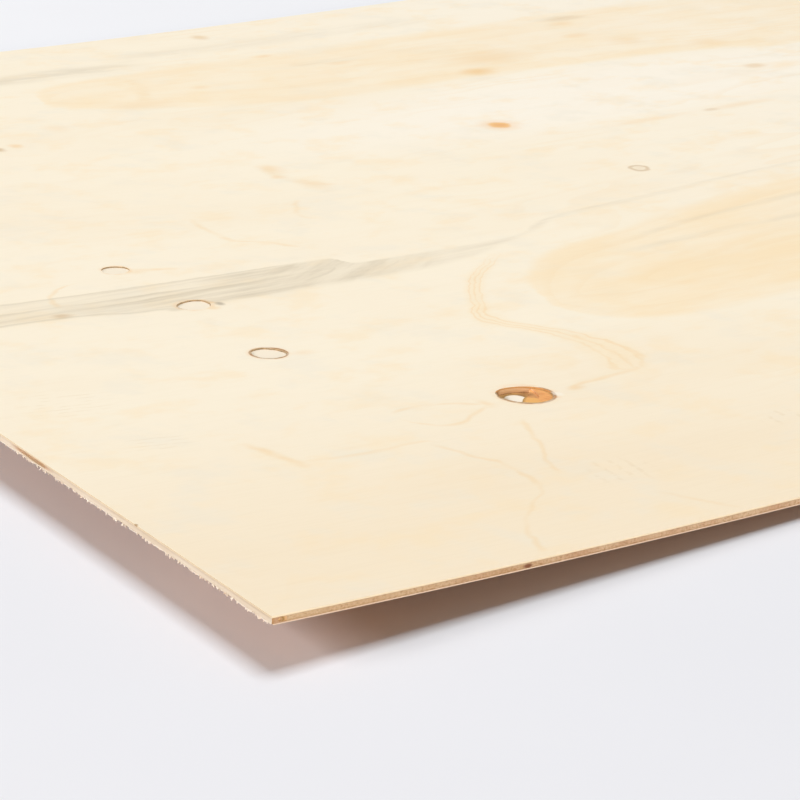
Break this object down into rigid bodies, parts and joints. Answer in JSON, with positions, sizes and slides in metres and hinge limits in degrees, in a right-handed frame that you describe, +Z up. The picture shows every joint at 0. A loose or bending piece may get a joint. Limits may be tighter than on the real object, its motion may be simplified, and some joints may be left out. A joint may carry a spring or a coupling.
{
  "type": "plywood sheet",
  "caption": "Thin pine plywood sheet glued up from veneers, with open knot holes, torn cross-cut ends and a slight upward curl",
  "frame": {"origin": "on the floor under the middle of the sheet", "axes": "+X along the sheet's length and its face grain, +Y across its width, +Z up out of the face veneer"},
  "size_m": [2.44, 1.22, 0.0295],
  "materials": {
    "face_veneer": "unsanded pine face veneer, dry and matt",
    "core_veneer": "pine core veneer, sawn end grain showing brown on the long edges",
    "back_veneer": "rough pine back veneer, splintered at the cross-cut ends"
  },
  "bodies": {
    "root": {"back_veneer": "back_veneer", "core_veneer": "core_veneer", "face_veneer": "face_veneer"}
  },
  "joints": []
}
